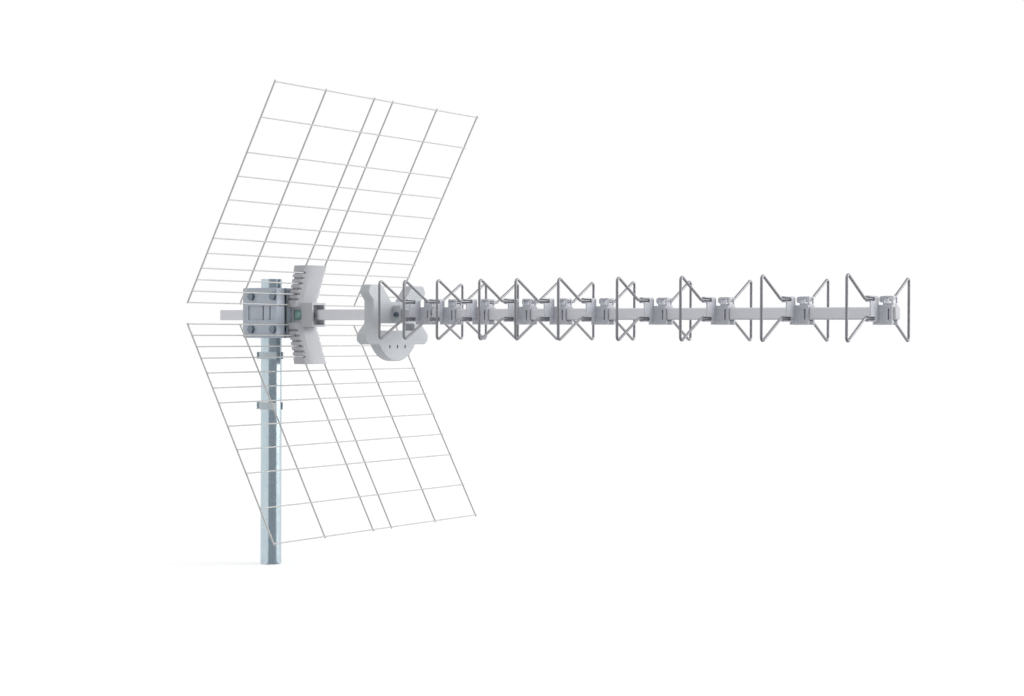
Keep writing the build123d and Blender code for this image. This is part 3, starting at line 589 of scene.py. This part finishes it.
bolt_low, bolt_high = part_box("holder_bolt")
nut_low, nut_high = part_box("holder_nut")
bolt_x = (bolt_low[0] + bolt_high[0]) / 2
bolt_z = boom_z * mm
seat = bolt_low[1] + bolt_head * mm
grip = (bolt_high[1] - seat) / mm - holder_tail
bolt = stood(hexagon_bolt(grip, holder_tail), (bolt_x, seat, bolt_z))
# A ring turned in four steps is square.
square = turned([(square_bore, 0), (square_reach, 0), (square_reach, square_thick),
                 (square_bore, square_thick)], 4)
bmesh.ops.rotate(square, cent=(0, 0, 0), matrix=Matrix.Rotation(pi / 4, 3, "Z"), verts=square.verts)
stood(square, (bolt_x, seat - square_thick * mm, bolt_z))
finished("tinted_holder_bolt", gathered([bolt, square]), tinted_zinc, "holder_bolt",
         sharp=28)
nut = stood(hexagon_nut((nut_high[1] - nut_low[1]) / mm), (bolt_x, nut_low[1], bolt_z))
finished("tinted_holder_nut", nut, tinted_zinc, "holder_nut", sharp=28)
nodes["keeper_screws"].data.materials[0] = zinc

# Dipole housing: a butterfly-shaped case in two halves, moulded in pale grey ABS.
# A cord of cellular rubber lies between the halves, and zinc plated screws from behind pull them
# together. One more screw fixes the collar to the boom.
housing_plastic = moulded_plastic("moulded_abs_housing", "#BEC3C8", "#C8CCD0", 0.44)
for rank in ("front", "rear"):
    node = "dipole_%s_shell" % rank
    finished("moulded_" + node, copied(node, 0.3), housing_plastic, node)
for node in ("housing_screws", "collar_screw"):
    nodes[node].data.materials[0] = zinc

# Cellular rubber: black and matt, with cells of 0.4 mm cut open at its skin.
seal, tree, shader, place = new_finish("black_cellular_rubber", "#2A2C2E", 0, 0.75)
cells = add(tree, "ShaderNodeTexVoronoi", {"Vector": (place, "Object"), "Scale": 1 / (0.4 * mm)})
tones = add(tree, "ShaderNodeMix", {0: (cells, "Distance"), 6: linear("#232527"), 7: linear("#34373A")},
            data_type="RGBA")
relief = add(tree, "ShaderNodeBump", {"Height": (cells, "Distance"), "Distance": 0.1 * mm})
lay_over(tree, shader, {"Base Color": (tones, 2), "Normal": (relief, 0)})
nodes["housing_gasket"].data.materials[0] = seal

# Inside the housing: two dipole plates of aluminium sheet, the balun board and its pins.
# The cable socket and its nut stand on the housing's back, and are turned brass as the pins are.

# Rolled aluminium: a bright metal with the rolls' fine lines.
sheet_metal, tree, shader, place = new_finish("rolled_aluminium_sheet", "#C0C2C6", 1, 0.32)
stretch = add(tree, "ShaderNodeMapping", {"Vector": (place, "Object"), "Scale": (1, 0.02, 1)})
lines = add(tree, "ShaderNodeTexNoise", {"Vector": (stretch, 0), "Scale": 1 / (0.8 * mm), "Detail": 3})
tones = add(tree, "ShaderNodeMix", {0: (lines, 0), 6: linear("#B4B6BA"), 7: linear("#CCCED2")},
            data_type="RGBA")
relief = add(tree, "ShaderNodeBump", {"Height": (lines, 0), "Distance": 0.02 * mm})
lay_over(tree, shader, {"Base Color": (tones, 2), "Normal": (relief, 0)})
for node in ("dipole_plate_left", "dipole_plate_right"):
    nodes[node].data.materials[0] = sheet_metal

# Woven glass in resin under a green varnish: smooth and glossy, with the weave just showing.
laminate, tree, shader, place = new_finish("green_masked_glass_laminate", "#2C6A43", 0, 0.3)
weave = add(tree, "ShaderNodeTexVoronoi", {"Vector": (place, "Object"), "Scale": 1 / (0.6 * mm)},
            distance="CHEBYCHEV")
tones = add(tree, "ShaderNodeMix", {0: (weave, "Distance"), 6: linear("#255C3A"), 7: linear("#35784D")},
            data_type="RGBA")
relief = add(tree, "ShaderNodeBump", {"Height": (weave, "Distance"), "Distance": 0.02 * mm})
lay_over(tree, shader, {"Base Color": (tones, 2), "Normal": (relief, 0)})
nodes["balun_board"].data.materials[0] = laminate

# Nickel plate on brass: a warm bright metal, almost a mirror, with a faint bloom.
plated, tree, shader, place = new_finish("nickel_plated_brass", "#C9C4B6", 1, 0.22)
bloom = add(tree, "ShaderNodeTexNoise", {"Vector": (place, "Object"), "Scale": 1 / (2 * mm), "Detail": 3})
tones = add(tree, "ShaderNodeMix", {0: (bloom, 0), 6: linear("#BFB9A9"), 7: linear("#D2CEC2")},
            data_type="RGBA")
lay_over(tree, shader, {"Base Color": (tones, 2)})
for node in ("feed_pins", "cable_socket", "cable_socket_nut"):
    nodes[node].data.materials[0] = plated

# Directors: ten moulded clips that snap over the boom, each with a near and a far wing of bent rod.
# The clips are mauve-grey polypropylene, whose thin webs look milky. The wings are drawn aluminium
# rod, bent cold and a little darker.
director_plastic = moulded_plastic("moulded_polypropylene_clip", "#C0C2CA", "#CACCD3", 0.42, milky=0.6)

# Drawn rod: a grey metal, blurred by a thin haze.
rod_metal, tree, shader, place = new_finish("drawn_aluminium_rod", "#8E8E92", 0.7, 0.38)
haze = add(tree, "ShaderNodeTexNoise", {"Vector": (place, "Object"), "Scale": 1 / (2.5 * mm), "Detail": 4})
tones = add(tree, "ShaderNodeMix", {0: (haze, 0), 6: linear("#838388"), 7: linear("#9B9B9F")},
            data_type="RGBA")
relief = add(tree, "ShaderNodeBump", {"Height": (haze, 0), "Distance": 0.02 * mm})
lay_over(tree, shader, {"Base Color": (tones, 2), "Normal": (relief, 0)})
for number in range(1, 11):
    node = "director_%02d_clip" % number
    finished("moulded_" + node, copied(node, 0.25), director_plastic, node)
    for rank in ("near", "far"):
        nodes["director_%02d_%s_wing" % (number, rank)].data.materials[0] = rod_metal
